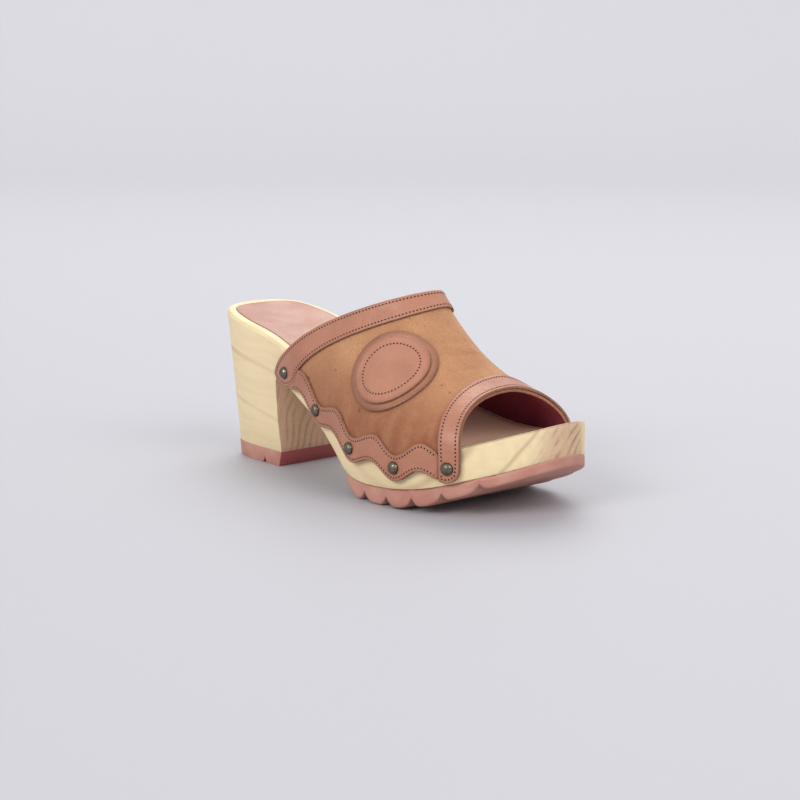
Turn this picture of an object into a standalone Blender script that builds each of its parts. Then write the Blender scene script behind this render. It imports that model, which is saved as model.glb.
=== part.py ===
"""A mule for the right foot: a leather upper nailed to a carved wooden sole with rubber outsoles.

Lengths in the tables are millimetres, and the model is built in metres: +Z up, +X to the toe,
-Y to the outer (lateral) side of the foot. A station is a distance along the sole from the back
of the heel. The upper is one function of two shares: how far from the toe opening to the collar,
and how far across, from the outer lower edge over the crown to the inner lower edge.
"""
import math
from collections import namedtuple
from functools import lru_cache

import bmesh
import bpy
import numpy as np
from mathutils import Vector

MM = 0.001
GAP = 0.3                   # clearance kept between neighbouring pieces
MERGE = 0.02                # points closer than this are one point
NUDGE = 1e-4                # step of a share used to read a slope
SHARP_ANGLE = math.radians(35)
LATERAL, MEDIAL = -1, 1
COLUMN = {LATERAL: "lateral", MEDIAL: "medial"}

# Wooden sole: half widths to both sides, top of the rim, underside, and line of the rubber's lugs
LENGTH = 243.0
SIDE_SHIFT = 1.5            # moves the sole sideways so that the origin is at the middle of the box
Section = namedtuple("Section", "station lateral medial rim under tread")
SECTIONS = (
    Section(0, -0.5, -0.5, 84.1, 53.0, 0.0),
    Section(8, -24.6, 22.4, 83.0, 53.0, 0.0),
    Section(28, -32.0, 29.6, 79.1, 53.0, 0.0),
    Section(60, -33.6, 28.6, 72.3, 53.0, 0.0),
    Section(76, -35.6, 27.6, 67.8, 46.9, 0.0),
    Section(95, -38.3, 27.2, 61.0, 39.1, 0.0),
    Section(110, -40.9, 29.0, 54.6, 31.6, 0.0),
    Section(125, -43.4, 32.0, 47.8, 21.0, 0.0),
    Section(136, -45.2, 35.0, 42.7, 12.4, 0.0),
    Section(146, -46.4, 37.9, 38.6, 9.7, 0.0),
    Section(160, -47.2, 41.5, 34.2, 9.4, 0.0),
    Section(180, -46.6, 44.2, 31.6, 10.8, 0.9),
    Section(200, -42.4, 43.4, 32.9, 14.6, 5.6),
    Section(216, -35.0, 39.2, 36.9, 19.6, 11.6),
    Section(229, -24.4, 31.8, 41.3, 24.0, 17.2),
    Section(238, -11.4, 24.0, 44.8, 27.8, 21.3),
    Section(243, 8.5, 8.5, 47.2, 30.2, 24.0),
)
SHANK_ROW = 3               # the underside is read from this row on, in front of the heel
STATIONS = [row.station for row in SECTIONS]
HEEL_ROUND, TOE_ROUND = 2.8, 1.2
ROUND_FROM, ROUND_TO = 60.0, 190.0
DISH = 2.4                  # depth of the footbed's cup
DISH_INSET = 2.0            # the cup starts this far inside the outline
DISH_FULL_WIDTH = 20.0      # half width at which the cup has its full depth
DISH_STEPS = 6

# Block heel: the wall leans in towards the floor, more at the back than at the sides
HEEL_SEAT = 8.4
SIDE_TAPER, BACK_TAPER = 0.07, 0.085
TAPER_FROM, TAPER_TO = 58.0, 95.0
HEEL_LEAN = 3.9             # the front of the heel stands this far ahead of its own top
Breast = namedtuple("Breast", "station foot height")
BREAST = (
    Breast(58.0, 61.9, HEEL_SEAT),
    Breast(59.2, 61.4, 22.0),
    Breast(60.2, 60.9, 36.0),
    Breast(61.6, 60.9, 45.0),
    Breast(63.2, 61.8, 49.2),
    Breast(65.4, 64.6, 50.9),
)
HEEL_FRONT = BREAST[0].station
SHANK_START = 70.0
STEP = 5.0                  # spacing of the sole's sections
ROUND_BACK, ROUND_STEPS_BACK = 28.0, 7
ROUND_TOE, ROUND_STEPS_TOE = 225.0, 8

# Rubber under heel and forefoot
HEEL_FLOOR_LEAN = 0.4
GROOVE_STATION, GROOVE_DEPTH, GROOVE_WIDTH = 45.4, 3.5, 3.6
GROOVE_BELOW, GROOVE_REACH = 1.0, 60.0       # how far its cutter passes the floor and the sides
RUBBER_START = 137.0
NOTCH_FIRST, NOTCH_PITCH, NOTCH_COUNT = 153.0, 17.0, 5
NOTCH_SHARE = 0.48          # of the rubber's thickness
LUG_FLAT, LUG_ROUND = 0.42, 2.2
LUG_OFFSETS = (0.0, 1.0, 2.4, 4.4, 8.5, 12.6, 14.6, 16.0)
REAR_END, REAR_RISE, REAR_STEPS = 148.0, 7.6, 5
LUG_CHAMFER = 1.2

# Sock on the footbed
Inset = namedtuple("Inset", "station inset")
SOCK_EDGE = (Inset(60, 4.6), Inset(110, 3.0), Inset(195, 3.0), Inset(225, 7.0))      # inside the rim
SOCK_WALL, SOCK_GAP = 1.0, 0.4
SOCK_TOE, SOCK_STEPS_TOE, SOCK_STEP = 214.0, 5, 7.0

# Upper: arches from the toe opening (share 0) to the collar (share 1)
Arch = namedtuple("Arch", "share lateral medial crown_station crown_side crown_height"
                          " outer_fullness inner_fullness lean")
ARCHES = (
    Arch(0.0, 213.4, 208.5, 203.7, 4.5, 57.0, 2.15, 1.68, 0.39),
    Arch(1 / 3, 167.7, 165.3, 189.5, 4.2, 64.3, 2.15, 1.78, 0.47),
    Arch(2 / 3, 122.1, 122.2, 173.5, 3.6, 77.2, 2.15, 1.88, 0.54),
    Arch(1.0, 76.4, 79.0, 150.0, 2.8, 101.4, 2.15, 1.96, 0.62),
)
SHARES = [arch.share for arch in ARCHES]
FULLNESS = {LATERAL: "outer_fullness", MEDIAL: "inner_fullness"}
COLLAR_SLANT, COLLAR_BEND = 1.35, 0.044      # the collar's edge runs back and down the sole's side
UPPER_WALL = 1.7
BAND_WALL = 1.2
ALONG_STEPS, ALONG_EASE = 40, 0.5
SKIRT_STEPS, ARCH_STEPS = 3, 16
SKIRT_TABLE_STEPS = 400
SKIRT_MOST = 18.0
HALVINGS = 30
OUTLINE_STEPS = 400

# Studs, and the wavy lower edge that dips at each of them
Stud = namedtuple("Stud", "station height")
STUDS = {
    LATERAL: (Stud(78.6, 55.5), Stud(112.2, 40.8), Stud(144.9, 26.6), Stud(178.9, 22.2), Stud(208.2, 25.5)),
    MEDIAL: (Stud(81.0, 55.2), Stud(113.0, 41.0), Stud(144.0, 26.8), Stud(174.0, 22.2), Stud(201.5, 24.5)),
}
TAB_REACH = {LATERAL: (12.0, 6.0), MEDIAL: (12.0, 7.5)}     # beyond the last stud, at collar and toe
WAVE_MIDDLE, WAVE_SWING = 4.2, 3.1
STUD_RADIUS, STUD_HEIGHT = 3.5, 2.5
STUD_SIDES, STUD_RINGS = 12, 8

# Bands and the round patch
Width = namedtuple("Width", "across width")
TOE_BAND = (Width(0.0, 12.0), Width(0.8, 10.8), Width(2.0, 10.8))
COLLAR_BAND = (Width(0.0, 10.4), Width(0.8, 16.2), Width(1.1, 18.0), Width(1.45, 20.2), Width(1.7, 19.4),
               Width(1.87, 17.2), Width(2.0, 13.4))
BAND_STEPS, BAND_SKIRT_STEPS = 6, 6
RAND_ALONG = (0.0, 0.5, 0.85, 0.93, 1.0)
RAND_WIDTH = (13.4, 13.0, 9.8, 8.8, 11.8)   # from the toe band to the collar band
RAND_STEPS_ALONG, RAND_STEPS_UP = 36, 5
RAND_GAP = 0.6              # between the rand's ends and the two bands
RAND_PASSES = 6             # each pass brings the rand's two directions closer together
PATCH_SHARE, PATCH_ACROSS = 0.606, -0.511
BACKING_RADIUS, BACKING_WALL = 23.0, 1.0
PATCH_RADIUS, PATCH_WALL = 19.6, 1.2
DISC_RINGS, DISC_SIDES = 4, 24
DISC_PASSES = 8

# Base colour, roughness and metallic of each finish
FINISHES = {
    "wood": ((0.80, 0.66, 0.42), 0.55, 0.0),
    "rubber": ((0.50, 0.20, 0.15), 0.75, 0.0),
    "suede": ((0.42, 0.20, 0.09), 0.95, 0.0),
    "leather": ((0.48, 0.22, 0.14), 0.50, 0.0),
    "sock_leather": ((0.66, 0.40, 0.32), 0.55, 0.0),
    "stud_metal": ((0.30, 0.26, 0.18), 0.40, 1.0),
}


def smooth(xs, ys, x):
    """Cubic curve through the points (xs, ys), read at x."""
    xs, ys, x = (np.asarray(values, float) for values in (xs, ys, x))
    step = np.diff(xs)
    slope = np.diff(ys) / step
    tangent = np.empty_like(ys)
    tangent[1:-1] = (slope[:-1] * step[1:] + slope[1:] * step[:-1]) / (step[:-1] + step[1:])
    tangent[0] = 2 * slope[0] - tangent[1]
    tangent[-1] = 2 * slope[-1] - tangent[-2]
    i = np.clip(np.searchsorted(xs, x, side="right") - 1, 0, len(xs) - 2)
    t = (x - xs[i]) / step[i]
    start = (1 + 2 * t) * (1 - t) ** 2 * ys[i] + t * (1 - t) ** 2 * step[i] * tangent[i]
    end = t * t * (3 - 2 * t) * ys[i + 1] + t * t * (t - 1) * step[i] * tangent[i + 1]
    return start + end


def sweep(station):
    """Share of a half turn from heel to toe, which makes both ends of an outline round."""
    return np.arccos(np.clip(1 - 2 * np.asarray(station, float) / LENGTH, -1, 1)) / math.pi


def sole(column, station):
    """A column of the sole's table, read between its rows."""
    if column in COLUMN.values():
        values = [getattr(row, column) for row in SECTIONS]
        return smooth(sweep(STATIONS), values, sweep(station))
    rows = SECTIONS if column == "rim" else SECTIONS[SHANK_ROW:]
    return smooth([row.station for row in rows], [getattr(row, column) for row in rows], station)


def rim(side, station, out=0.0):
    """Plan point on the sole's outline, moved out along the outline's normal."""
    station = np.asarray(station, float)
    turn = np.clip(sweep(station), NUDGE, 1 - NUDGE)
    before, after = (LENGTH * (1 - np.cos(math.pi * (turn + step))) / 2 for step in (-NUDGE, NUDGE))
    along = after - before
    across = sole(COLUMN[side], after) - sole(COLUMN[side], before)
    size = np.hypot(along, across)
    return station - side * out * across / size, sole(COLUMN[side], station) + side * out * along / size


def rounding(station):
    """Radius of the rim's top edge."""
    return np.interp(station, (ROUND_FROM, ROUND_TO), (HEEL_ROUND, TOE_ROUND))


def shoulder(station):
    """Height at which the side wall ends and the rim's rounding starts."""
    return sole("rim", station) - rounding(station)


def wall(side, station, height, out=0.0):
    """Plan point on the sole's side wall at a height, moved out along the outline's normal."""
    facing_back = np.minimum(rim(side, station, 1.0)[0] - station, 0.0)
    fade = np.interp(station, (TAPER_FROM, TAPER_TO), (1.0, 0.0))
    taper = SIDE_TAPER * fade * fade * (3 - 2 * fade) + BACK_TAPER * facing_back ** 2
    return rim(side, station, out - taper * (shoulder(station) - height))


def lean(station, reach):
    """How far the heel's wall runs forward below a station of its top."""
    return reach * (station / HEEL_FRONT) ** 2


@lru_cache(maxsize=None)
def inset_table(side, inset):
    """Points of the outline moved in by a distance, from heel to toe."""
    turns = np.linspace(0, 1, OUTLINE_STEPS + 1)
    return rim(side, LENGTH * (1 - np.cos(math.pi * turns)) / 2, -inset)


def inset_line(side, station, inset):
    return float(np.interp(station, *inset_table(side, inset)))


def footbed(station, out):
    """Height of the cupped footbed at a plan point."""
    outer = inset_line(LATERAL, station, DISH_INSET)
    inner = inset_line(MEDIAL, station, DISH_INSET)
    half_width = (inner - outer) / 2
    share = min(1.0, abs(2 * out - outer - inner) / max(inner - outer, MERGE))
    cup = DISH * min(1.0, (half_width / DISH_FULL_WIDTH) ** 2)
    return float(sole("rim", station)) - cup * (1 - share * share)


def arch(column, share):
    """A column of the upper's table, read between its rows."""
    return smooth(SHARES, [getattr(row, column) for row in ARCHES], share)


def low_edge(side, station):
    """Height of the wavy lower edge on the sole's side."""
    studs = STUDS[side]
    stations = [stud.station for stud in studs]
    line = np.interp(station, stations, [stud.height for stud in studs])
    turn = np.interp(station, stations, range(len(studs)))
    wave = line - WAVE_MIDDLE - WAVE_SWING * np.cos(2 * math.pi * turn)
    reach_back, reach_front = TAB_REACH[side]
    past_back = np.clip((studs[0].station - station) / reach_back, 0, 1)
    past_front = np.clip((station - studs[-1].station) / reach_front, 0, 1)
    past = np.maximum(past_back, past_front)
    return wave + (WAVE_MIDDLE + WAVE_SWING) * (1 - np.sqrt(1 - past ** 2))


def run_back(share, depth):
    """How far a line of equal share runs back below the rim's shoulder."""
    return share ** 2 * (COLLAR_SLANT * depth - COLLAR_BEND * depth ** 2)


@lru_cache(maxsize=None)
def skirt_table(side):
    """How far the upper hangs below the rim's shoulder, found by halving at a run of shares."""
    share = np.linspace(0, 1, SKIRT_TABLE_STEPS + 1)
    foot = arch(COLUMN[side], share)
    low, high = np.zeros_like(foot), np.full_like(foot, SKIRT_MOST)
    for _ in range(HALVINGS):
        middle = (low + high) / 2
        above = shoulder(foot) - middle > low_edge(side, foot - run_back(share, middle))
        low, high = np.where(above, middle, low), np.where(above, high, middle)
    return share, (low + high) / 2


def skirt(side, share):
    """How far the upper hangs below the rim's shoulder at a share."""
    return np.interp(share, *skirt_table(side))


def half_upper(side, share, across):
    """Inner face of one half: across is 0 at the crown, 1 at the shoulder, 2 at the lower edge."""
    foot = arch(COLUMN[side], share)
    depth = np.maximum(across - 1, 0) * skirt(side, share)
    height = shoulder(foot) - depth
    station, out = wall(side, foot - run_back(share, depth), height, GAP)
    turn = np.clip(1 - across, 0, 1) * math.pi / 2
    power = 2 / arch(FULLNESS[side], share)
    forward = arch("lean", share) * np.sin(turn) + (1 - arch("lean", share)) * np.sin(turn) ** 2
    close = np.maximum(np.cos(turn), 0) ** power
    rise = np.sin(turn) ** power
    crown = [arch(name, share) for name in ("crown_station", "crown_side", "crown_height")]
    return np.stack([station + (crown[0] - station) * forward,
                     crown[1] + (out - crown[1]) * close,
                     height + (crown[2] - height) * rise], -1)


def upper_face(share, across):
    """Inner face of the upper: across runs from -2 (outer lower edge) to 2 (inner lower edge)."""
    share, across = np.broadcast_arrays(np.asarray(share, float), np.asarray(across, float))
    outer = half_upper(LATERAL, share, np.abs(across))
    inner = half_upper(MEDIAL, share, np.abs(across))
    return np.where((across <= 0)[..., None], outer, inner)


def layer(share, across, lift):
    """A face of the upper lifted off its inner face along the normal."""
    share, across = np.broadcast_arrays(np.asarray(share, float), np.asarray(across, float))
    ahead, behind = np.clip(share + NUDGE, 0, 1), np.clip(share - NUDGE, 0, 1)
    right, left = np.clip(across + NUDGE, -2, 2), np.clip(across - NUDGE, -2, 2)
    normal = np.cross(upper_face(share, right) - upper_face(share, left),
                      upper_face(ahead, across) - upper_face(behind, across))
    normal /= np.linalg.norm(normal, axis=-1, keepdims=True)
    return upper_face(share, across) + lift * normal


def share_at(start, across, width):
    """Share at a straight distance from one of the upper's two edges, found by halving."""
    near, far = np.full_like(across, start), np.full_like(across, 0.5)
    edge = upper_face(near, across)
    for _ in range(HALVINGS):
        middle = (near + far) / 2
        short = np.linalg.norm(upper_face(middle, across) - edge, axis=-1) < width
        near, far = np.where(short, middle, near), np.where(short, far, middle)
    return (near + far) / 2


def band_width(band, across):
    return np.interp(np.abs(across), [row.across for row in band], [row.width for row in band])


def across_at(side, share, climb):
    """Across value at a vertical climb above the lower edge."""
    depth = skirt(side, share)
    foot = shoulder(arch(COLUMN[side], share))
    rise = np.clip((climb - depth) / (arch("crown_height", share) - foot), 0, 1)
    turn = np.arcsin(rise ** (arch(FULLNESS[side], share) / 2))
    return side * np.where(climb < depth, 2 - climb / depth, 1 - turn / (math.pi / 2))


def across_values(skirt_steps):
    """From the outer lower edge over the crown to the inner one."""
    outer = np.linspace(-2, -1, skirt_steps + 1)[:-1]
    return np.concatenate([outer, np.linspace(-1, 1, ARCH_STEPS + 1), -outer[::-1]])


def place(point):
    """A point of the tables, in millimetres from the back of the heel, as a place in the model."""
    return Vector((point[0] - LENGTH / 2, point[1] + SIDE_SHIFT, point[2])) * MM


def make_collection(name):
    collection = bpy.data.collections.new(name)
    bpy.context.scene.collection.children.link(collection)
    return collection


def make_finish(name):
    colour, roughness, metallic = FINISHES[name]
    material = bpy.data.materials.new(name)
    material.use_nodes = True
    shader = material.node_tree.nodes["Principled BSDF"]
    shader.inputs["Base Color"].default_value = (*colour, 1.0)
    shader.inputs["Roughness"].default_value = roughness
    shader.inputs["Metallic"].default_value = metallic
    return material


def add_object(name, bm, material, collection):
    mesh = bpy.data.meshes.new(name)
    bm.to_mesh(mesh)
    bm.free()
    mesh.shade_smooth()
    mesh.set_sharp_from_angle(angle=SHARP_ANGLE)
    if material:
        mesh.materials.append(material)
    piece = bpy.data.objects.new(name, mesh)
    collection.objects.link(piece)
    return piece


def skin(rows, closed):
    """A bmesh of quads between rows of points; points that coincide are merged."""
    bm = bmesh.new()
    grid = [[bm.verts.new(place(point)) for point in row] for row in rows]
    count = len(rows[0])
    for row, following in zip(grid, grid[1:]):
        for j in range(count if closed else count - 1):
            k = (j + 1) % count
            bm.faces.new((row[j], row[k], following[k], following[j]))
    return bm, grid


def merge(bm):
    bmesh.ops.remove_doubles(bm, verts=bm.verts, dist=MERGE * MM)


def solid(name, rings, material, collection, cap_start=False, cap_end=False):
    """A closed loft through rings; an end whose two sides coincide closes itself."""
    bm, grid = skin(rings, True)
    if cap_start:
        bm.faces.new(grid[0])
    if cap_end:
        bm.faces.new(grid[-1])
    merge(bm)
    bmesh.ops.recalc_face_normals(bm, faces=bm.faces)
    return add_object(name, bm, material, collection)


def sheet(name, rows, thickness, material, collection, closed=False):
    """A curved sheet given its thickness outwards."""
    bm, _ = skin(rows, closed)
    merge(bm)
    piece = add_object(name, bm, material, collection)
    shell = piece.modifiers.new("Wall", "SOLIDIFY")
    shell.thickness = thickness * MM
    shell.offset = 1.0
    shell.use_even_offset = True
    return piece


def back_stations():
    return [ROUND_BACK * (k / ROUND_STEPS_BACK) ** 2 for k in range(ROUND_STEPS_BACK + 1)]


def toe_stations():
    reach = LENGTH - ROUND_TOE
    return [LENGTH - reach * (1 - k / ROUND_STEPS_TOE) ** 2 for k in range(ROUND_STEPS_TOE + 1)]


def steps_between(start, end):
    return [float(station) for station in np.arange(start, end - STEP / 2, STEP)]


def heel_stations():
    return back_stations() + steps_between(ROUND_BACK + STEP, HEEL_FRONT) + [HEEL_FRONT]


def sole_columns():
    """Columns of the wood's side wall: station at the rim, station and height at the lower end."""
    columns = [Breast(s, s + lean(s, HEEL_LEAN), HEEL_SEAT) for s in heel_stations()]
    columns += BREAST[1:]
    for s in steps_between(SHANK_START, ROUND_TOE) + toe_stations():
        columns.append(Breast(s, s, float(sole("under", s))))
    return columns


def wood_ring(column):
    """One section: up the outer wall, over the rim and the cupped footbed, down the inner wall."""
    station, foot, height = column
    radius = float(rounding(station))
    top = float(sole("rim", station))
    soft = 1 - math.sqrt(0.5)
    sides = {}
    for side in (LATERAL, MEDIAL):
        sides[side] = [
            (*wall(side, foot, height), height),
            (*rim(side, station), top - radius),
            (*rim(side, station, -soft * radius), top - soft * radius),
            rim(side, station, -radius),
        ]
    edges = [np.array(sides[side].pop()) for side in (LATERAL, MEDIAL)]
    bed = []
    for share in np.linspace(0, 1, DISH_STEPS + 1):
        plan = edges[0] + (edges[1] - edges[0]) * share
        bed.append((*plan, footbed(*plan)))
    return sides[LATERAL] + bed + sides[MEDIAL][::-1]


def make_wood_sole(material, collection):
    rings = [wood_ring(column) for column in sole_columns()]
    return solid("wood_sole", rings, material, collection)


def make_groove_cutter(collection):
    """A three-sided bar lying across the heel, point up."""
    slope = GROOVE_WIDTH / 2 / GROOVE_DEPTH
    foot = slope * (GROOVE_DEPTH + GROOVE_BELOW)
    corners = ((0.0, GROOVE_DEPTH), (-foot, -GROOVE_BELOW), (foot, -GROOVE_BELOW))
    bm = bmesh.new()
    verts = [bm.verts.new(place((GROOVE_STATION + along, -GROOVE_REACH, up))) for along, up in corners]
    bar = bmesh.ops.extrude_face_region(bm, geom=[bm.faces.new(verts)])
    moved = [item for item in bar["geom"] if isinstance(item, bmesh.types.BMVert)]
    bmesh.ops.translate(bm, verts=moved, vec=(0, 2 * GROOVE_REACH * MM, 0))
    bmesh.ops.recalc_face_normals(bm, faces=bm.faces)
    cutter = add_object("heel_groove_cutter", bm, None, collection)
    cutter.hide_render = True
    cutter.display_type = "WIRE"
    return cutter


def make_outsole_heel(material, collection, cutters):
    """Rubber under the heel: the wood's outline runs on down, the front slants back."""
    top = HEEL_SEAT - GAP
    rings = []
    for station in heel_stations():
        upper_end = station + lean(station, HEEL_LEAN)
        lower_end = station + lean(station, HEEL_FLOOR_LEAN)
        rings.append([
            (*wall(LATERAL, upper_end, top), top),
            (*wall(LATERAL, lower_end, 0.0), 0.0),
            (*wall(MEDIAL, lower_end, 0.0), 0.0),
            (*wall(MEDIAL, upper_end, top), top),
        ])
    piece = solid("outsole_heel", rings, material, collection, cap_end=True)
    cut = piece.modifiers.new("Groove", "BOOLEAN")
    cut.operation = "DIFFERENCE"
    cut.solver = "EXACT"
    cut.object = make_groove_cutter(cutters)
    return piece


def lug_line(station):
    """Height of the rubber's underside: round lugs with notches between them, rising at the rear."""
    line = max(0.0, float(sole("tread", station)))
    thickness = float(sole("under", station)) - line
    nearest = round((station - NOTCH_FIRST) / NOTCH_PITCH)
    nearest = min(max(nearest, 0), NOTCH_COUNT - 1)
    away = abs(station - NOTCH_FIRST - nearest * NOTCH_PITCH) / (NOTCH_PITCH / 2)
    near = max(0.0, 1 - away - LUG_FLAT) / (1 - LUG_FLAT)
    rear = max(0.0, (REAR_END - station) / (REAR_END - RUBBER_START))
    return line + NOTCH_SHARE * thickness * near ** LUG_ROUND + REAR_RISE * rear ** LUG_ROUND


def rubber_stations():
    last = NOTCH_FIRST + NOTCH_PITCH * (NOTCH_COUNT - 1)
    rear = list(np.linspace(RUBBER_START, REAR_END, REAR_STEPS + 1))
    lugs = [NOTCH_FIRST + NOTCH_PITCH * k + offset for k in range(NOTCH_COUNT) for offset in LUG_OFFSETS]
    before = [NOTCH_FIRST - offset for offset in LUG_OFFSETS[2:0:-1]]
    known = rear + before + [station for station in lugs if station <= last + NOTCH_PITCH / 2]
    return known + [station for station in toe_stations() if station > known[-1] + 1]


def make_outsole_forefoot(material, collection):
    rings = []
    for station in rubber_stations():
        top = float(sole("under", station)) - GAP
        low = lug_line(station)
        sides = {side: [
            (*rim(side, station), top),
            (*rim(side, station), min(low + LUG_CHAMFER, top - LUG_CHAMFER / 2)),
            (*rim(side, station, -LUG_CHAMFER), low),
        ] for side in (LATERAL, MEDIAL)}
        rings.append(sides[LATERAL] + sides[MEDIAL][::-1])
    return solid("outsole_forefoot", rings, material, collection, cap_start=True)


def sock_inset(station):
    return float(np.interp(station, *zip(*SOCK_EDGE)))


def sock_stations():
    curve = [SOCK_EDGE[0].inset + station for station in back_stations()]
    middle = np.linspace(curve[-1], SOCK_TOE, 1 + round((SOCK_TOE - curve[-1]) / SOCK_STEP))
    last = min(float(inset_table(side, SOCK_EDGE[-1].inset)[0].max()) for side in (LATERAL, MEDIAL))
    toe = [last - (last - SOCK_TOE) * (1 - k / SOCK_STEPS_TOE) ** 2 for k in range(1, SOCK_STEPS_TOE + 1)]
    return curve[:-1] + [float(station) for station in middle] + toe


def make_sock(material, collection):
    """A thin sheet on the footbed, its edge a set distance inside the rim."""
    rows = []
    for station in sock_stations():
        inner, outer = (inset_line(side, station, sock_inset(station)) for side in (MEDIAL, LATERAL))
        rows.append([(station, out, footbed(station, out) + SOCK_GAP)
                     for out in np.linspace(inner, outer, DISH_STEPS + 1)])
    return sheet("insole_sock", rows, SOCK_WALL, material, collection)


def make_upper(material, collection):
    even = np.linspace(0, 1, ALONG_STEPS + 1)
    shares = even - ALONG_EASE * np.sin(2 * math.pi * even) / (2 * math.pi)
    rows = [upper_face(share, across_values(SKIRT_STEPS)) for share in shares]
    return sheet("upper", rows, UPPER_WALL, material, collection)


def make_band(name, start, band, material, collection):
    """A band along one of the upper's two edges, from the outer lower edge to the inner one."""
    across = across_values(BAND_SKIRT_STEPS)
    inside = share_at(start, across, band_width(band, across))
    steps = np.linspace(0, 1, BAND_STEPS + 1)
    if start > 0.5:
        steps = steps[::-1]
    rows = [layer(start + (inside - start) * step, across, UPPER_WALL + GAP) for step in steps]
    return sheet(name, rows, BAND_WALL, material, collection)


def make_rand(name, side, material, collection):
    """The wavy band between the two bands' ends, along the lower edge of one side."""
    along = np.linspace(0, 1, RAND_STEPS_ALONG + 1)[:, None]
    climb = np.linspace(0, 1, RAND_STEPS_UP + 1)[None, :] * np.interp(along, RAND_ALONG, RAND_WIDTH)
    along = np.broadcast_to(along, climb.shape)
    across = across_at(side, along, climb)
    for _ in range(RAND_PASSES):
        front = share_at(0.0, across, band_width(TOE_BAND, across) + RAND_GAP)
        back = share_at(1.0, across, band_width(COLLAR_BAND, across) + RAND_GAP)
        share = front + (back - front) * along
        across = across_at(side, share, climb)
    rows = layer(share, across, UPPER_WALL + GAP)
    if side == MEDIAL:
        rows = rows[:, ::-1]
    return sheet(name, rows, BAND_WALL, material, collection)


def patch_frame():
    """Middle of the patch and three axes: along, up the upper, and outwards."""
    middle = layer(PATCH_SHARE, PATCH_ACROSS, 0.0)
    outwards = layer(PATCH_SHARE, PATCH_ACROSS, 1.0) - middle
    along = np.cross(outwards, (0.0, 0.0, 1.0))
    along /= np.linalg.norm(along)
    return middle, along, np.cross(outwards, along)


def on_upper(reach_along, reach_up):
    """Shares of the upper's points that lie at given distances in the patch's own plane."""
    middle, along, up = patch_frame()
    share = np.full_like(reach_along, PATCH_SHARE)
    across = np.full_like(reach_along, PATCH_ACROSS)

    def miss(share, across):
        offset = upper_face(share, across) - middle
        return offset @ along - reach_along, offset @ up - reach_up

    for _ in range(DISC_PASSES):
        here = miss(share, across)
        by_share = [(moved - still) / NUDGE for moved, still in zip(miss(share + NUDGE, across), here)]
        by_across = [(moved - still) / NUDGE for moved, still in zip(miss(share, across + NUDGE), here)]
        scale = by_share[0] * by_across[1] - by_across[0] * by_share[1]
        share = share - (here[0] * by_across[1] - here[1] * by_across[0]) / scale
        across = across - (here[1] * by_share[0] - here[0] * by_share[1]) / scale
    return share, across


def make_disc(name, radius, lift, thickness, material, collection):
    """A round patch that follows the upper's curve."""
    reach = radius * np.linspace(0, 1, DISC_RINGS + 1)[:, None]
    angle = -2 * math.pi * np.arange(DISC_SIDES)[None, :] / DISC_SIDES
    share, across = on_upper(reach * np.cos(angle), reach * np.sin(angle))
    rows = layer(share, across, lift)
    return sheet(name, rows, thickness, material, collection, closed=True)


def make_stud(name, side, stud, material, collection):
    """A dome nail: half a flattened ball, its flat back on the band."""
    bm = bmesh.new()
    bmesh.ops.create_uvsphere(bm, u_segments=STUD_SIDES, v_segments=STUD_RINGS, radius=STUD_RADIUS * MM)
    everything = bm.verts[:] + bm.edges[:] + bm.faces[:]
    bmesh.ops.bisect_plane(bm, geom=everything, plane_co=(0, 0, 0), plane_no=(0, 0, 1), clear_inner=True)
    rim_edges = [edge for edge in bm.edges if edge.is_boundary]
    bmesh.ops.edgeloop_fill(bm, edges=rim_edges)
    bmesh.ops.scale(bm, vec=(1, 1, STUD_HEIGHT / STUD_RADIUS), verts=bm.verts)
    bmesh.ops.recalc_face_normals(bm, faces=bm.faces)
    out = GAP + UPPER_WALL + GAP + BAND_WALL + GAP
    seat = place((*wall(side, stud.station, stud.height, out), stud.height))
    tip = place((*wall(side, stud.station, stud.height, out + 1.0), stud.height))
    turn = (tip - seat).to_track_quat("Z", "Y").to_matrix()
    bmesh.ops.rotate(bm, verts=bm.verts, matrix=turn)
    bmesh.ops.translate(bm, verts=bm.verts, vec=seat)
    return add_object(name, bm, material, collection)


def main():
    for old in list(bpy.data.objects):
        bpy.data.objects.remove(old, do_unlink=True)
    parts = make_collection("leather_mule")
    cutters = make_collection("cutters")
    finishes = {name: make_finish(name) for name in FINISHES}
    leather = finishes["leather"]

    make_wood_sole(finishes["wood"], parts)
    make_outsole_heel(finishes["rubber"], parts, cutters)
    make_outsole_forefoot(finishes["rubber"], parts)
    make_sock(finishes["sock_leather"], parts)
    make_upper(finishes["suede"], parts)
    make_band("collar_band", 1.0, COLLAR_BAND, leather, parts)
    make_band("toe_band", 0.0, TOE_BAND, leather, parts)
    make_rand("rand_lateral", LATERAL, leather, parts)
    make_rand("rand_medial", MEDIAL, leather, parts)
    backing_lift = UPPER_WALL + GAP
    patch_lift = backing_lift + BACKING_WALL + GAP
    make_disc("patch_backing", BACKING_RADIUS, backing_lift, BACKING_WALL, finishes["suede"], parts)
    make_disc("round_patch", PATCH_RADIUS, patch_lift, PATCH_WALL, leather, parts)
    for side, studs in STUDS.items():
        for number, stud in enumerate(studs, start=1):
            make_stud(f"stud_{COLUMN[side]}_{number}", side, stud, finishes["stud_metal"], parts)


main()
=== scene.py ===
import math

import bmesh
import bpy
from mathutils import Matrix, Vector
from mathutils.bvhtree import BVHTree
from mathutils.kdtree import KDTree


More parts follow.
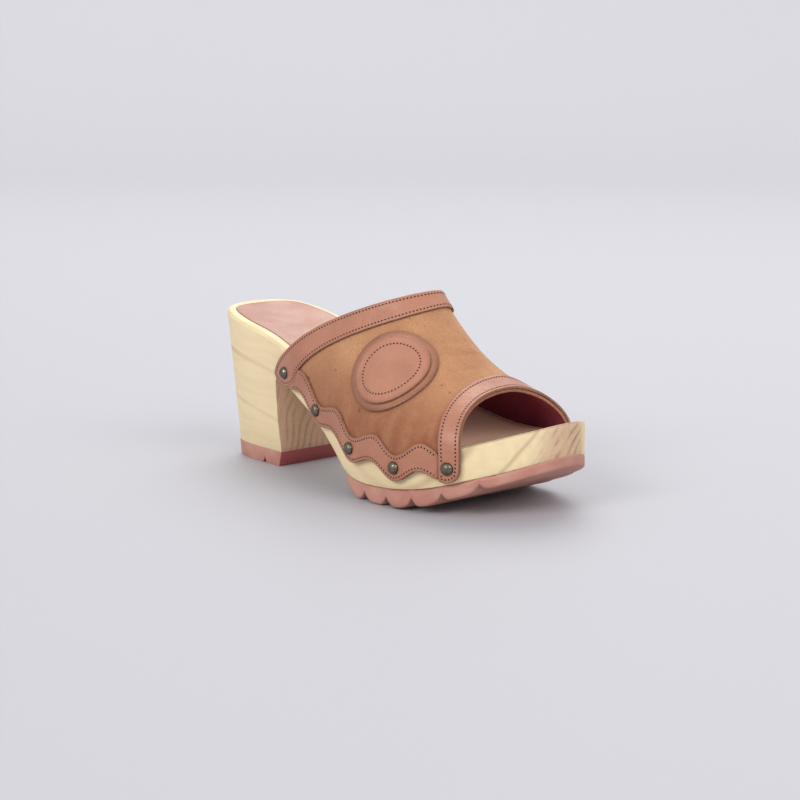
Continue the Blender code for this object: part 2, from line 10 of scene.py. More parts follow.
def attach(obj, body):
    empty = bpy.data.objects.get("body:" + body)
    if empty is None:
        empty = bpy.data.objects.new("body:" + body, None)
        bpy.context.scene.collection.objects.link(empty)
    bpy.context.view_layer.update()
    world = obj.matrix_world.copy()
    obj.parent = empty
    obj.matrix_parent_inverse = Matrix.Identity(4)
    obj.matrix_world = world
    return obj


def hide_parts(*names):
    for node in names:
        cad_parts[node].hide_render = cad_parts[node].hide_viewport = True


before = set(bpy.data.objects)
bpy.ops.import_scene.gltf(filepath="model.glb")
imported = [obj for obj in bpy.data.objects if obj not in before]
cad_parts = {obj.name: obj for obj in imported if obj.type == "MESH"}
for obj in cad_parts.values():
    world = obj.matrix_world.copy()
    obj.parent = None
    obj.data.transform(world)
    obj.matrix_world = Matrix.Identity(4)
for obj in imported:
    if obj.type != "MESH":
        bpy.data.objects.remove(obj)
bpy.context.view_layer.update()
mm = 0.001
print("frame loaded:", len(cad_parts), "nodes")


# camera and light

cameraSet = {"place": (785.0, -678.3, 232.7), "target": (-4.1, 9.5, 40.6), "focalLength": 89.94,
             "sensor": 36.0, "farthest": 50.0}
floorSet = {"flat": 2.2, "rise": 1.6, "height": 1.5, "steps": 14, "sides": 96,
            "colour": (0.445, 0.445, 0.472), "roughness": 0.6}
sunSet = [
    # name, where it shines from, how wide it looks, strength, colour
    ("keyLight", (0.14, -0.87, 0.47), math.radians(30), 2.0, (1.0, 0.985, 0.965)),
    ("backLight", (-0.40, 0.50, 0.77), math.radians(50), 1.45, (1.0, 0.985, 0.975)),
    ("frontLight", (0.80, 0.04, 0.46), math.radians(50), 1.7, (1.0, 0.975, 0.955)),
]
skySet = {"colour": (0.84, 0.85, 0.90), "strength": 0.75}


def aimed(thing, place, target):
    thing.location = place
    thing.rotation_euler = (Vector(target) - Vector(place)).to_track_quat("-Z", "Y").to_euler()
    bpy.context.scene.collection.objects.link(thing)
    return thing


def makeCamera():
    lens = bpy.data.cameras.new("photoCamera")
    lens.sensor_width = cameraSet["sensor"]
    lens.lens = cameraSet["focalLength"]
    lens.clip_end = cameraSet["farthest"]
    spot = bpy.data.objects.new("photoCamera", lens)
    aimed(spot, Vector(cameraSet["place"]) * mm, Vector(cameraSet["target"]) * mm)
    bpy.context.scene.camera = spot


def makeLights():
    for name, place, width, strength, colour in sunSet:
        lamp = bpy.data.lights.new(name, "SUN")
        lamp.energy = strength
        lamp.angle = width
        lamp.color = colour
        aimed(bpy.data.objects.new(name, lamp), place, (0.0, 0.0, 0.0))
    world = bpy.data.worlds.new("studioSky")
    world.use_nodes = True
    sky = world.node_tree.nodes["Background"]
    sky.inputs["Color"].default_value = (*skySet["colour"], 1.0)
    sky.inputs["Strength"].default_value = skySet["strength"]
    bpy.context.scene.world = world
    bpy.context.scene.view_settings.view_transform = "Standard"


def makeFloor():
    bm = bmesh.new()
    bmesh.ops.create_circle(bm, cap_ends=True, segments=floorSet["sides"], radius=floorSet["flat"])
    ring = bm.edges[:]
    for step in range(1, floorSet["steps"] + 1):
        turn = math.pi / 2 * step / floorSet["steps"]
        wide = floorSet["flat"] + floorSet["rise"] * math.sin(turn)
        high = floorSet["height"] * (1 - math.cos(turn))
        grown = bmesh.ops.extrude_edge_only(bm, edges=ring)["geom"]
        ring = [item for item in grown if isinstance(item, bmesh.types.BMEdge)]
        for vert in [item for item in grown if isinstance(item, bmesh.types.BMVert)]:
            flat = Vector((vert.co.x, vert.co.y)).normalized() * wide
            vert.co = (flat.x, flat.y, high)
    bmesh.ops.recalc_face_normals(bm, faces=bm.faces)
    mesh = bpy.data.meshes.new("studioFloor")
    bm.to_mesh(mesh)
    bm.free()
    mesh.shade_smooth()
    paint = bpy.data.materials.new("studioPaper")
    paint.use_nodes = True
    shader = paint.node_tree.nodes["Principled BSDF"]
    shader.inputs["Base Color"].default_value = (*floorSet["colour"], 1.0)
    shader.inputs["Roughness"].default_value = floorSet["roughness"]
    mesh.materials.append(paint)
    floor = bpy.data.objects.new("studioFloor", mesh)
    bpy.context.scene.collection.objects.link(floor)


makeCamera()
makeLights()
makeFloor()
print("stage set")


# small tools for node trees

def newFinish(name, colour, roughness, **sockets):
    paint = bpy.data.materials.new(name)
    paint.use_nodes = True
    tree = paint.node_tree
    shader = tree.nodes["Principled BSDF"]
    shader.inputs["Base Color"].default_value = (*colour, 1.0)
    shader.inputs["Roughness"].default_value = roughness
    for socket, value in sockets.items():
        shader.inputs[socket.replace("_", " ")].default_value = value
    return paint, tree, shader


def addNode(tree, kind, **sockets):
    node = tree.nodes.new(kind)
    for socket, value in sockets.items():
        node.inputs[socket.replace("_", " ")].default_value = value
    return node


def objectPoint(tree, stretch=(1, 1, 1), turn=(0, 0, 0)):
    point = tree.nodes.new("ShaderNodeTexCoord")
    place = addNode(tree, "ShaderNodeMapping", Scale=stretch, Rotation=turn)
    tree.links.new(point.outputs["Object"], place.inputs["Vector"])
    return place.outputs["Vector"]


def cloud(tree, size, detail=3.0, stretch=(1, 1, 1), low=0.35, high=0.65, turn=(0, 0, 0), rough=0.5):
    # soft noise whose blots are about size metres, spread from low to high
    spots = addNode(tree, "ShaderNodeTexNoise", Scale=1 / size, Detail=detail, Roughness=rough)
    tree.links.new(objectPoint(tree, stretch, turn), spots.inputs["Vector"])
    return spread(tree, spots.outputs["Fac"], low, high)


def spread(tree, value, low, high, start=0.0, end=1.0):
    ramp = addNode(tree, "ShaderNodeMapRange")
    ramp.interpolation_type = "SMOOTHSTEP"
    ramp.inputs["From Min"].default_value = low
    ramp.inputs["From Max"].default_value = high
    ramp.inputs["To Min"].default_value = start
    ramp.inputs["To Max"].default_value = end
    tree.links.new(value, ramp.inputs["Value"])
    return ramp.outputs["Result"]


def sums(tree, kind, first, second):
    node = tree.nodes.new("ShaderNodeMath")
    node.operation = kind
    for socket, value in zip(node.inputs, (first, second)):
        if isinstance(value, (int, float)):
            socket.default_value = value
        else:
            tree.links.new(value, socket)
    return node.outputs["Value"]


def tint(tree, share, first, second):
    # first colour where share is 0, second where it is 1; each is a colour or a socket
    node = tree.nodes.new("ShaderNodeMix")
    node.data_type = "RGBA"
    tree.links.new(share, node.inputs["Factor"])
    for socket, value in zip((node.inputs[6], node.inputs[7]), (first, second)):
        if isinstance(value, tuple):
            socket.default_value = (*value, 1.0)
        else:
            tree.links.new(value, socket)
    return node.outputs[2]


def bumps(tree, shader, layers):
    # layers of (height socket, depth in metres), one over the other
    normal = None
    for height, depth in layers:
        node = addNode(tree, "ShaderNodeBump", Strength=1.0, Distance=depth)
        tree.links.new(height, node.inputs["Height"])
        if normal:
            tree.links.new(normal, node.inputs["Normal"])
        normal = node.outputs["Normal"]
    tree.links.new(normal, shader.inputs["Normal"])


def ownValue(tree, name):
    node = tree.nodes.new("ShaderNodeAttribute")
    node.attribute_name = name
    return node.outputs["Fac"]


# finishes

def makeWood():
    wood = {"pale": (0.79, 0.645, 0.39), "streak": (0.44, 0.30, 0.165), "end": (0.62, 0.42, 0.27),
            "innerEnd": (0.70, 0.46, 0.30), "backEnd": (0.70, 0.53, 0.33), "endStreak": (0.28, 0.165, 0.10),
            "heart": (0.092, -0.020), "slope": 0.17, "ring": 0.0117}
    endStrength = {"back": 0.35, "toe": 0.85}
    heelLines = {"slope": 0.2, "wander": 0.003, "rows": [(0.0396, 0.0024, 0.5), (0.0135, 0.0019, 0.4)]}
    paint, tree, shader = newFinish("clogWood", wood["pale"], 0.5, Specular_IOR_Level=0.35)
    point = tree.nodes.new("ShaderNodeSeparateXYZ")
    tree.links.new(objectPoint(tree), point.inputs["Vector"])
    x, y, z = (point.outputs[axis] for axis in "XYZ")
    lifted = sums(tree, "ADD", z, sums(tree, "MULTIPLY", x, wood["slope"]))
    across = sums(tree, "SUBTRACT", y, wood["heart"][0])
    above = sums(tree, "SUBTRACT", lifted, wood["heart"][1])
    reach = sums(tree, "SQRT", sums(tree, "ADD", sums(tree, "MULTIPLY", across, across),
                                    sums(tree, "MULTIPLY", above, above)), 0.0)
    wander = cloud(tree, 0.045, 2.0, (0.35, 1, 1), 0.0, 1.0)
    reach = sums(tree, "ADD", reach, sums(tree, "MULTIPLY", wander, 0.012))
    rings = sums(tree, "FRACT", sums(tree, "DIVIDE", reach, wood["ring"]), 0.0)
    closeRings = sums(tree, "FRACT", sums(tree, "DIVIDE", reach, wood["ring"] * 0.4), 0.0)
    line = sums(tree, "MULTIPLY", spread(tree, rings, 0.74, 0.88), spread(tree, rings, 1.0, 0.88))
    closeLine = sums(tree, "MULTIPLY", spread(tree, closeRings, 0.40, 0.74),
                     spread(tree, closeRings, 1.0, 0.74))
    closeLine = sums(tree, "MULTIPLY", closeLine, cloud(tree, 0.012, 2.0, (1, 1, 0.4), 0.36, 0.62))
    patches = cloud(tree, 0.05, 2.0, (0.4, 1, 1), 0.34, 0.58)
    fibre = cloud(tree, 0.004, 4.0, (0.06, 1, 1), 0.3, 0.75)
    side = tint(tree, sums(tree, "MULTIPLY", fibre, 0.16), wood["pale"], wood["streak"])
    strength = sums(tree, "MULTIPLY", patches, spread(tree, x, 0.03, 0.08, 0.22, 0.55))
    strength = sums(tree, "MULTIPLY", strength, spread(tree, x, -0.07, -0.04))
    side = tint(tree, sums(tree, "MULTIPLY", line, strength), side, wood["streak"])
    level = sums(tree, "ADD", z, sums(tree, "MULTIPLY", x, heelLines["slope"]))
    level = sums(tree, "ADD", level, sums(tree, "MULTIPLY", wander, heelLines["wander"]))
    onHeel = sums(tree, "MULTIPLY", spread(tree, x, -0.04, -0.07),
                  spread(tree, patches, 0.0, 1.0, 0.5, 1.0))
    for height, width, share in heelLines["rows"]:
        away = sums(tree, "ABSOLUTE", sums(tree, "SUBTRACT", level, height + heelLines["wander"] / 2), 0.0)
        faint = sums(tree, "MULTIPLY", spread(tree, away, width, 0.0, 0.0, share), onHeel)
        side = tint(tree, faint, side, wood["streak"])
    pores = cloud(tree, 0.0016, 2.0, (0.3, 1, 1), 0.45, 0.8)
    # painted light and shade: the end grain gets its own colour on the heel's back, the heel's front and the
    # toe, for the light each gets
    end = tint(tree, spread(tree, x, -0.11, -0.08), wood["backEnd"], wood["innerEnd"])
    end = tint(tree, spread(tree, x, -0.02, 0.06), end, wood["end"])
    streaks = spread(tree, x, -0.11, 0.06, endStrength["back"], endStrength["toe"])
    end = tint(tree, sums(tree, "MULTIPLY", closeLine, streaks), end, wood["endStreak"])
    end = tint(tree, sums(tree, "MULTIPLY", pores, 0.25), end, wood["endStreak"])
    endShare = ownValue(tree, "endGrain")
    colour = tint(tree, endShare, side, end)
    tree.links.new(colour, shader.inputs["Base Color"])
    tree.links.new(spread(tree, sums(tree, "ADD", fibre, endShare), 0.0, 2.0, 0.44, 0.68),
                   shader.inputs["Roughness"])
    bumps(tree, shader, [(fibre, 0.00005)])
    return paint


def makeRubber(name, fresh, dusty):
    paint, tree, shader = newFinish(name, fresh, 0.62, Specular_IOR_Level=0.35)
    dust = cloud(tree, 0.018, 4.0, low=0.42, high=0.7)
    tree.links.new(tint(tree, sums(tree, "MULTIPLY", dust, 0.5), fresh, dusty), shader.inputs["Base Color"])
    tree.links.new(spread(tree, dust, 0.0, 1.0, 0.5, 0.75), shader.inputs["Roughness"])
    bumps(tree, shader, [(cloud(tree, 0.0007, 2.0, low=0.2, high=0.8), 0.00005),
                         (cloud(tree, 0.012, 2.0, low=0.2, high=0.8), 0.0002)])
    return paint


def makeSmoothLeather(name, tan, deep, sheenTint=(1.0, 0.8, 0.72), paintedToeLight=None):
    paint, tree, shader = newFinish(name, tan, 0.44, Specular_IOR_Level=0.42, Coat_Weight=0.10,
                                    Coat_Roughness=0.32, Sheen_Weight=0.10, Sheen_Roughness=0.4,
                                    Sheen_Tint=(*sheenTint, 1.0))
    blots = cloud(tree, 0.022, 3.0, low=0.38, high=0.66)
    flecks = cloud(tree, 0.0022, 3.0, low=0.5, high=0.8)
    colour = tint(tree, sums(tree, "MULTIPLY", blots, 0.38), tan, deep)
    colour = tint(tree, sums(tree, "MULTIPLY", flecks, 0.16), colour, deep)
    # painted light: the paler toe colour lifts the shade inside the toe opening
    if paintedToeLight:   # paler towards the toe
        point = tree.nodes.new("ShaderNodeSeparateXYZ")
        tree.links.new(objectPoint(tree), point.inputs["Vector"])
        colour = tint(tree, spread(tree, point.outputs["X"], 0.0, 0.06), colour, paintedToeLight)
    # darker along the sheet's edges: partly burnished edge colour, partly painted shade where the edge meets
    # what lies under it
    burnishAndEdgeShade = spread(tree, ownValue(tree, "nearEdge"), 0.5, 1.0)
    colour = tint(tree, sums(tree, "MULTIPLY", burnishAndEdgeShade, 0.6), colour, deep)
    tree.links.new(colour, shader.inputs["Base Color"])
    tree.links.new(spread(tree, blots, 0.0, 1.0, 0.40, 0.54), shader.inputs["Roughness"])
    cells = addNode(tree, "ShaderNodeTexVoronoi", Scale=1 / 0.0011)
    tree.links.new(objectPoint(tree), cells.inputs["Vector"])
    bumps(tree, shader, [(cells.outputs["Distance"], 0.00007), (cloud(tree, 0.006, 3.0), 0.00018)])
    return paint


def makeSuede():
    suede = {"low": (0.285, 0.098, 0.049), "high": (0.50, 0.258, 0.132), "brown": (0.25, 0.098, 0.048),
             "pale": (0.50, 0.255, 0.132), "speck": (0.11, 0.045, 0.025),
             "from": 0.035, "to": 0.076}
    paint, tree, shader = newFinish("goldenSuede", suede["low"], 0.92, Specular_IOR_Level=0.2,
                                    Sheen_Weight=0.6, Sheen_Roughness=0.45, Sheen_Tint=(1.0, 0.70, 0.44, 1.0))
    point = tree.nodes.new("ShaderNodeSeparateXYZ")
    tree.links.new(objectPoint(tree), point.inputs["Vector"])
    # painted light: the suede is paler higher up and darker lower down, following how the light falls
    paintedTopLight = spread(tree, point.outputs["Z"], suede["from"], suede["to"])   # paler higher up
    brushed = cloud(tree, 0.030, 4.0, low=0.36, high=0.66)
    stroked = cloud(tree, 0.011, 4.0, (1, 1, 0.5), 0.42, 0.72, rough=0.6)
    nap = cloud(tree, 0.0011, 2.0, low=0.3, high=0.7)
    specks = cloud(tree, 0.0042, 1.0, low=0.73, high=0.80)
    colour = tint(tree, paintedTopLight, suede["low"], suede["high"])
    colour = tint(tree, sums(tree, "MULTIPLY", brushed, 0.42), colour, suede["brown"])
    colour = tint(tree, sums(tree, "MULTIPLY", stroked, 0.40), colour, suede["pale"])
    colour = tint(tree, sums(tree, "MULTIPLY", nap, 0.25), colour, suede["brown"])
    colour = tint(tree, sums(tree, "MULTIPLY", specks, 0.7), colour, suede["speck"])
    tree.links.new(colour, shader.inputs["Base Color"])
    bumps(tree, shader, [(nap, 0.00012), (stroked, 0.00022)])
    return paint


def makeLining():
    lining = {"deep": (0.18, 0.025, 0.050), "worn": (0.24, 0.045, 0.066), "wear": 0.5}
    paint, tree, shader = newFinish("maroonLining", lining["deep"], 0.7, Specular_IOR_Level=0.25)
    worn = cloud(tree, 0.015, 3.0, low=0.4, high=0.7)
    colour = tint(tree, sums(tree, "MULTIPLY", worn, lining["wear"]), lining["deep"], lining["worn"])
    tree.links.new(colour, shader.inputs["Base Color"])
    bumps(tree, shader, [(cloud(tree, 0.0012, 2.0), 0.00008)])
    return paint


def makeCutEdge():
    # layers of a cut edge: raw fibres between two darker painted skins
    cut = {"plain": (0.36, 0.18, 0.11), "pale": (0.38, 0.19, 0.115), "dark": (0.26, 0.12, 0.072),
           "skin": (0.12, 0.045, 0.034)}
    paint, tree, shader = newFinish("cutEdge", cut["plain"], 0.8, Specular_IOR_Level=0.25)
    fibres = cloud(tree, 0.0012, 3.0, low=0.3, high=0.7)
    depth = ownValue(tree, "depth")
    skins = sums(tree, "ADD", spread(tree, depth, 0.22, 0.05), spread(tree, depth, 0.8, 0.95))
    colour = tint(tree, fibres, cut["pale"], cut["dark"])
    tree.links.new(tint(tree, skins, colour, cut["skin"]), shader.inputs["Base Color"])
    bumps(tree, shader, [(fibres, 0.0002)])
    return paint


def makeStudMetal():
    brass = {"bright": (0.19, 0.168, 0.122), "dull": (0.085, 0.070, 0.048), "foot": (0.035, 0.027, 0.020)}
    paint, tree, shader = newFinish("antiqueStud", brass["bright"], 0.32, Metallic=1.0)
    dull = cloud(tree, 0.0022, 3.0, low=0.35, high=0.7)
    # painted shade: darker round the foot of each dome, where it meets the leather
    low = spread(tree, ownValue(tree, "nearEdge"), 0.25, 0.95)
    colour = tint(tree, sums(tree, "MULTIPLY", dull, 0.5), brass["bright"], brass["dull"])
    tree.links.new(tint(tree, low, colour, brass["foot"]), shader.inputs["Base Color"])
    tree.links.new(spread(tree, dull, 0.0, 1.0, 0.26, 0.46), shader.inputs["Roughness"])
    bumps(tree, shader, [(cloud(tree, 0.0014, 2.0), 0.00005)])
    return paint


finishes = {
    "wood": makeWood(),
    "rubber": makeRubber("salmonRubber", (0.45, 0.20, 0.152), (0.565, 0.33, 0.26)),
    "shadedFrontRubber": makeRubber("shadedFrontRubber", (0.41, 0.098, 0.103), (0.46, 0.132, 0.132)),
    "band": makeSmoothLeather("tanBandLeather", (0.415, 0.178, 0.107), (0.275, 0.103, 0.060)),
    "patch": makeSmoothLeather("roundPatchLeather", (0.43, 0.187, 0.112), (0.26, 0.098, 0.056)),
    "backing": makeSmoothLeather("backingLeather", (0.39, 0.165, 0.088), (0.16, 0.060, 0.034)),
    # the sock's last colour is painted light for the shaded toe opening
    "sock": makeSmoothLeather("pinkSockLeather", (0.42, 0.203, 0.136), (0.34, 0.150, 0.099),
                              (1.0, 0.82, 0.74), (0.88, 0.57, 0.40)),
    "suede": makeSuede(),
    "lining": makeLining(),
    "cutEdge": makeCutEdge(),
    "metal": makeStudMetal(),
    "thread": newFinish("tanThread", (0.44, 0.205, 0.135), 0.6)[0],
    # painted shade: near-black discs stand for the shade inside the needle holes
    "hole": newFinish("needleHoleShade", (0.022, 0.007, 0.006), 0.9)[0],
}
print("finishes made:", len(finishes))


# copies of the solids, merged and made quads again

copySet = {"merge": 0.00001, "quadAngle": math.radians(40), "sharp": math.radians(38)}


def copyNode(name):
    bm = bmesh.new()
    bm.from_mesh(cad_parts[name].data)
    bmesh.ops.remove_doubles(bm, verts=bm.verts, dist=copySet["merge"])
    bmesh.ops.join_triangles(bm, faces=bm.faces, angle_face_threshold=copySet["quadAngle"],
                             angle_shape_threshold=copySet["quadAngle"])
    bm.edges.layers.float.new("crease_edge")
    bm.loops.layers.float.new("endGrain")
    for value in ("depth", "nearEdge"):
        bm.verts.layers.float.new(value)
    bm.normal_update()
    return bm


def sharpEdges(bm, angle=copySet["sharp"]):
    return [edge for edge in bm.edges if edge.calc_face_angle(0.0) > angle]


def regions(bm):
    # runs of faces between sharp edges, largest first
    walls = set(sharpEdges(bm))
    left = set(bm.faces)
    found = []
    while left:
        run = {left.pop()}
        front = list(run)
        while front:
            for edge in front.pop().edges:
                if edge in walls:
                    continue
                for face in edge.link_faces:
                    if face in left:
                        left.remove(face)
                        run.add(face)
                        front.append(face)
        found.append(run)
    return sorted(found, key=lambda run: -sum(face.calc_area() for face in run))


def faceSides(bm):
    # outer and inner faces of a bent sheet: outer ones look away from the middle of the shoe
    first, second = regions(bm)[:2]

    def away(run):
        total = 0.0
        for face in run:
            spot = face.calc_center_median()
            total += face.normal.dot(spot - Vector((spot.x, 0, 0.03))) * face.calc_area()
        return total

    return (first, second) if away(first) > away(second) else (second, first)


def setCrease(bm, edges, amount):
    layer = bm.edges.layers.float["crease_edge"]
    for edge in edges:
        edge[layer] = amount


def pieceFrom(name, bm, paints, replaced, levels):
    mesh = bpy.data.meshes.new(name)
    bm.to_mesh(mesh)
    bm.free()
    mesh.shade_smooth()
    for paint in paints:
        mesh.materials.append(paint)
    piece = bpy.data.objects.new(name, mesh)
    bpy.context.scene.collection.objects.link(piece)
    if levels:
        soft = piece.modifiers.new("soft", "SUBSURF")
        soft.levels = levels
        soft.render_levels = levels
    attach(piece, "root")
    if replaced:
        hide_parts(replaced)
    return piece


# wooden sole

woodSet = {"crease": 1.0, "sharp": math.radians(24), "endFrom": 0.86, "endTo": 0.97, "levels": 2,
           "round": 0.0004}


def makeWoodBody():
    bm = copyNode("wood_sole")
    setCrease(bm, sharpEdges(bm, woodSet["sharp"]), woodSet["crease"])
    grain = bm.loops.layers.float["endGrain"]
    for face in bm.faces:
        for corner in face.loops:
            near = [other.normal for other in corner.vert.link_faces
                    if other.normal.angle(face.normal) < copySet["sharp"]]
            facing = abs(sum(near, Vector()).normalized().x)
            share = (facing - woodSet["endFrom"]) / (woodSet["endTo"] - woodSet["endFrom"])
            share = min(max(share, 0.0), 1.0)
            corner[grain] = share * share * (3 - 2 * share)
    piece = pieceFrom("woodBody", bm, [finishes["wood"]], "wood_sole", woodSet["levels"])
    soften = piece.modifiers.new("sandedEdges", "BEVEL")
    soften.width = woodSet["round"]
    soften.segments = 2
    soften.limit_method = "ANGLE"
    soften.angle_limit = woodSet["sharp"]
    soften.use_clamp_overlap = False
    soften.harden_normals = True


makeWoodBody()
print("wood made")


# rubber under heel and forefoot

rubberSet = {"crease": 0.9, "levels": 2, "round": 0.0006, "seat": 0.0007, "topFacing": 0.7,
             "frontFacing": 0.6}


def seatRubber(bm):
    # the top face goes up to the wood, so that no dark line shows
    for vert in bm.verts:
        if max(face.normal.z for face in vert.link_faces) > rubberSet["topFacing"]:
            vert.co.z += rubberSet["seat"]


def makeForefootRubber():
    bm = copyNode("outsole_forefoot")
    seatRubber(bm)
    setCrease(bm, sharpEdges(bm), rubberSet["crease"])
    pieceFrom("forefootRubber", bm, [finishes["rubber"]], "outsole_forefoot",
              rubberSet["levels"])


def makeHeelRubber():
    bm = copyNode("outsole_heel")
    seatRubber(bm)
    bmesh.ops.bevel(bm, geom=sharpEdges(bm), offset=rubberSet["round"], affect="EDGES", segments=2,
                    profile=0.5, material=-1, clamp_overlap=True)
    bm.normal_update()
    for face in bm.faces:   # painted shade: faces looking forward get a darker, redder rubber
        face.material_index = 1 if face.normal.x > rubberSet["frontFacing"] else 0
    paints = [finishes["rubber"], finishes["shadedFrontRubber"]]
    piece = pieceFrom("heelRubber", bm, paints, "outsole_heel", 0)
    piece.data.set_sharp_from_angle(angle=copySet["sharp"])


makeForefootRubber()
makeHeelRubber()
print("rubber made")


# leather sheets: bands, rands, sock, patch and backing

sheetSet = {"crease": 0.8, "levels": 2, "meet": 0.0010, "meetShare": 0.9, "sockTop": 0.0009,
            "sockUnder": 0.00035, "topFacing": 0.5}


def nodeTree(node):
    bm = copyNode(node)
    tree = BVHTree.FromBMesh(bm)
    bm.free()
    return tree


def meetBands(bm):
    # the ends of a rand go most of the way to the bands
    for tree in (nodeTree("collar_band"), nodeTree("toe_band")):
        for vert in bm.verts:
            place, distance = tree.find_nearest(vert.co)[::3]
            if distance < sheetSet["meet"]:
                vert.co = vert.co.lerp(place, sheetSet["meetShare"])


def pressSock(bm):
    # glued down and worn thin, it lies lower than the rim
    for vert in bm.verts:
        top = max(face.normal.z for face in vert.link_faces) > sheetSet["topFacing"]
        vert.co.z -= sheetSet["sockTop"] if top else sheetSet["sockUnder"]


def dressSheet(name, node, outside, inside, levels=sheetSet["levels"]):
    bm = copyNode(node)
    if node.startswith("rand_"):
        meetBands(bm)
    if node == "insole_sock":
        pressSock(bm)
    outer, inner = faceSides(bm)
    for face in bm.faces:
        face.material_index = 0 if face in outer else 1 if face in inner else 2
    rims = [edge for edge in bm.edges if len({face.material_index for face in edge.link_faces}) > 1]
    setCrease(bm, rims, sheetSet["crease"])
    depth = bm.verts.layers.float["depth"]
    near = bm.verts.layers.float["nearEdge"]
    border = {vert for edge in rims for vert in edge.verts}
    for vert in bm.verts:
        vert[depth] = 1.0 if any(face in outer for face in vert.link_faces) else 0.0
        vert[near] = 1.0 if vert in border else 0.0
    return pieceFrom(name, bm, [outside, inside, finishes["cutEdge"]], node, levels)


def makeSheets():
    band, suede, sock = finishes["band"], finishes["suede"], finishes["sock"]
    made = [
        dressSheet("collarBand", "collar_band", band, band),
        dressSheet("toeBand", "toe_band", band, band),
        dressSheet("lateralRand", "rand_lateral", band, band),
        dressSheet("medialRand", "rand_medial", band, band),
        dressSheet("patchBacking", "patch_backing", finishes["backing"], suede),
        dressSheet("roundPatch", "round_patch", finishes["patch"], suede),
        dressSheet("footSock", "insole_sock", sock, sock),
    ]
    return {piece.name: piece for piece in made}


sheets = makeSheets()
print("leather sheets made")


# suede upper with its lining

def finalMesh(piece):
    bpy.context.view_layer.update()
    live = piece.evaluated_get(bpy.context.evaluated_depsgraph_get())
    bm = bmesh.new()
    bm.from_mesh(live.to_mesh())
    live.to_mesh_clear()
    return bm


upperSet = {"levels": 2, "steps": 24}
creaseRows = [
    # start, middle and end in millimetres near the upper, depth, half width
    ((45, -18, 80), (52, -3, 80), (53, 12, 77), 0.40, 2.2),
    ((51, -17, 74), (58, -2, 73), (59, 11, 72), 0.34, 2.0),
    ((60, -19, 66), (65, -4, 67), (66, 8, 67), 0.28, 1.9),
    ((48, -10, 79), (55, -2, 76.5), (57, 6, 75), -0.22, 1.6),
    ((31, -44, 60), (37, -45, 51), (38, -46, 45), 0.45, 3.6),
    ((66, -36, 53), (62, -41, 47), (57, -44, 43), 0.38, 3.2),
    ((-14, -37, 66), (-8, -41, 57), (-2, -43, 49), 0.42, 3.4),
    ((30, 38, 60), (36, 42, 51), (38, 44, 45), 0.45, 3.6),
    ((-10, 32, 68), (-6, 35, 58), (0, 37, 50), 0.40, 3.4),
]


def softLine(tree, start, middle, end):
    # points on the surface along a bent line, with the surface's normal and a share that fades at the ends
    points = []
    for step in range(upperSet["steps"] + 1):
        share = step / upperSet["steps"]
        first = Vector(start).lerp(Vector(middle), share)
        second = Vector(middle).lerp(Vector(end), share)
        place, out = tree.find_nearest(first.lerp(second, share) * mm)[:2]
        points.append((place, out, math.sin(math.pi * share)))
    return points


def pressCreases(piece):
    bm = finalMesh(piece)
    tree = BVHTree.FromBMesh(bm)
    moves = {}
    for start, middle, end, depth, width in creaseRows:
        line = softLine(tree, start, middle, end)
        near = KDTree(len(line))
        for index, (place, out, share) in enumerate(line):
            near.insert(place, index)
        near.balance()
        for vert in bm.verts:
            index, distance = near.find(vert.co)[1:]
            if distance < 3 * width * mm:
                share = math.exp(-(distance / (width * mm)) ** 2) * line[index][2]
                moves[vert] = moves.get(vert, Vector()) - line[index][1] * depth * mm * share
    for vert, move in moves.items():
        vert.co += move
    piece.modifiers.clear()
    bm.to_mesh(piece.data)
    bm.free()


def makeUpper():
    piece = dressSheet("suedeUpper", "upper", finishes["suede"], finishes["lining"],
                       upperSet["levels"])
    pressCreases(piece)


makeUpper()
print("upper made")


# dome studs

studSet = {"crease": 0.9, "levels": 2}


def makeStuds():
    for node in [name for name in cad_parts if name.startswith("stud_")]:
        bm = copyNode(node)
        rims = sharpEdges(bm)
        setCrease(bm, rims, studSet["crease"])
        near = bm.verts.layers.float["nearEdge"]
        for edge in rims:
            for vert in edge.verts:
                vert[near] = 1.0
        pieceFrom("dome_" + node, bm, [finishes["metal"]], node, studSet["levels"])


makeStuds()
print("studs made")


# stitch rows along the edges of bands, rands and patch

stitchSet = {"pitch": 0.0019, "threadLength": 0.0011, "threadRadius": 0.00029, "holeRadius": 0.00050,
             "holeHeight": 0.00013, "keepOff": 0.0019, "studRoom": 0.0042, "cornerShare": 0.85,
             "dense": 0.0004, "mostGap": 1.6}
stitchRows = [
    # piece, distance from its edge, pieces whose edges it keeps off
    ("collarBand", 0.0017, ()),
    ("toeBand", 0.0017, ()),
    ("lateralRand", 0.0016, ("collarBand", "toeBand")),
    ("medialRand", 0.0016, ("collarBand", "toeBand")),
    ("roundPatch", 0.0049, ()),
]


def outerBorder(bm):
    # the closed line round a sheet's outer side; it starts at the rearmost point and turns by position,
    # so that each run sews the same row
    edges = set()
    for edge in bm.edges:
        if sorted(face.material_index == 0 for face in edge.link_faces) == [False, True]:
            edges.add(edge)
    start = min((vert for edge in edges for vert in edge.verts), key=lambda vert: tuple(vert.co))
    line = [start]
    while True:
        here = line[-1]
        ways = [edge for edge in here.link_edges if edge in edges]
        if not ways:
            break
        step = min(ways, key=lambda edge: tuple(edge.other_vert(here).co))
        edges.discard(step)
        line.append(step.other_vert(here))
    return [vert.co.copy() for vert in line]


def evenly(line, pitch):
    # points along a closed line, a pitch apart as nearly as a whole number of steps allows
    lengths = [(after - before).length for before, after in zip(line, line[1:])]
    count = max(3, round(sum(lengths) / pitch))
    gap = sum(lengths) / count
    points = []
    walked = 0.0
    for before, after, length in zip(line, line[1:], lengths):
        while len(points) < count and len(points) * gap <= walked + length:
            points.append(before.lerp(after, (len(points) * gap - walked) / max(length, 1e-9)))
        walked += length
    return points


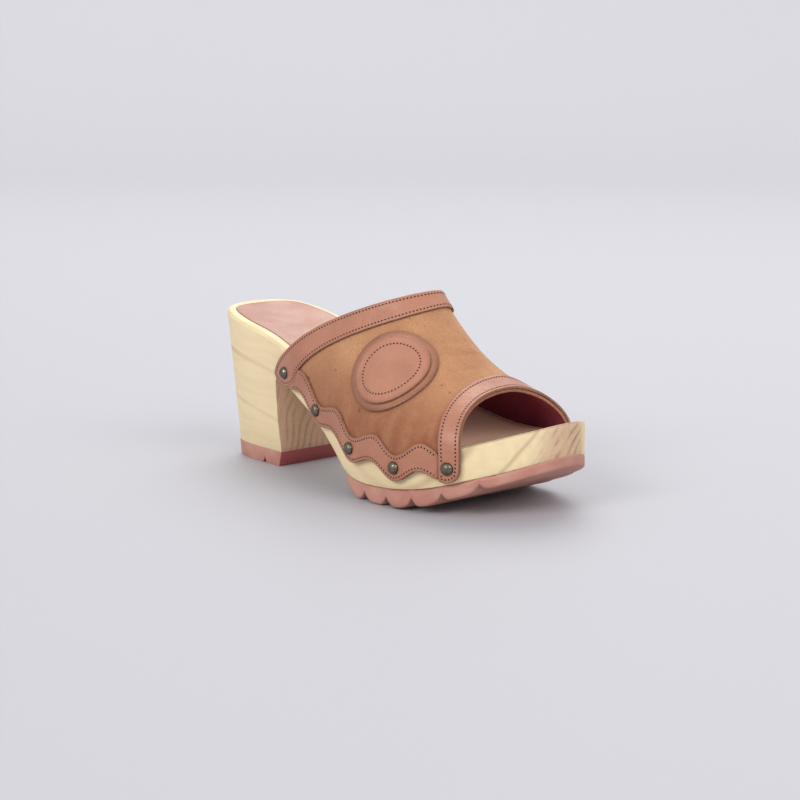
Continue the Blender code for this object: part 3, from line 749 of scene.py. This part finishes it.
def insetLine(bm, inset):
    # the border moved in over the sheet; points that would crowd a corner are dropped
    border = evenly(outerBorder(bm), stitchSet["dense"])
    tree = BVHTree.FromBMesh(bm)
    edgeTree = KDTree(len(border))
    for index, point in enumerate(border):
        edgeTree.insert(point, index)
    edgeTree.balance()
    tries = []
    for sign in (1, -1):
        moved = []
        for index, point in enumerate(border):
            along = (border[(index + 1) % len(border)] - border[index - 1]).normalized()
            out = tree.find_nearest(point)[1]
            inside = along.cross(Vector(out)).normalized() * sign * inset
            moved.append(tree.find_nearest(point + inside)[0])
        tries.append(moved)
    reach = [sum((edgeTree.find(point)[2]) for point in moved) for moved in tries]
    moved = tries[0] if reach[0] > reach[1] else tries[1]
    kept = [point for point in moved if edgeTree.find(point)[2] > inset * stitchSet["cornerShare"]]
    return kept + kept[:1], tree


def sewRow(name, inset, keepOff, threads, holes):
    bm = finalMesh(sheets[name])
    line, tree = insetLine(bm, inset)
    others = []
    for other in keepOff:
        near = finalMesh(sheets[other])
        others.append(BVHTree.FromBMesh(near))
        near.free()
    studs = [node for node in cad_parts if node.startswith("stud_")]
    studs = [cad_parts[node].data.vertices for node in studs]
    studs = [sum((vert.co for vert in verts), Vector()) / len(verts) for verts in studs]
    points = [tree.find_nearest(point)[0] for point in evenly(line, stitchSet["pitch"])]
    count = 0
    for index, point in enumerate(points):
        after = points[(index + 1) % len(points)]
        if (after - point).length > stitchSet["mostGap"] * stitchSet["pitch"]:
            continue
        if any(near.find_nearest(point)[3] < stitchSet["keepOff"] for near in others):
            continue
        if any((point - stud).length < stitchSet["studRoom"] for stud in studs):
            continue
        middle, out = tree.find_nearest((point + after) / 2)[:2]
        along = (after - point).normalized()
        turn = Matrix((along, out.cross(along).normalized(), out)).transposed().to_4x4()
        thread = stitchSet["threadRadius"]
        size = Matrix.Diagonal((stitchSet["threadLength"] / 2, thread, thread, 1.0))
        bmesh.ops.create_uvsphere(threads, u_segments=6, v_segments=5, radius=1.0,
                                  matrix=Matrix.Translation(middle) @ turn @ size)
        # a flat near-black disc at each needle hole: painted shade for the hole
        hole = stitchSet["holeRadius"]
        size = Matrix.Diagonal((hole, hole, stitchSet["holeHeight"], 1.0))
        bmesh.ops.create_uvsphere(holes, u_segments=8, v_segments=5, radius=1.0,
                                  matrix=Matrix.Translation(point) @ turn @ size)
        count += 1
    bm.free()
    return count


def makeStitching():
    for name, inset, keepOff in stitchRows:
        threads, holes = bmesh.new(), bmesh.new()
        count = sewRow(name, inset, keepOff, threads, holes)
        pieceFrom(name + "Thread", threads, [finishes["thread"]], None, 0)
        pieceFrom(name + "Holes", holes, [finishes["hole"]], None, 0)
        print("stitches on", name, count)


makeStitching()
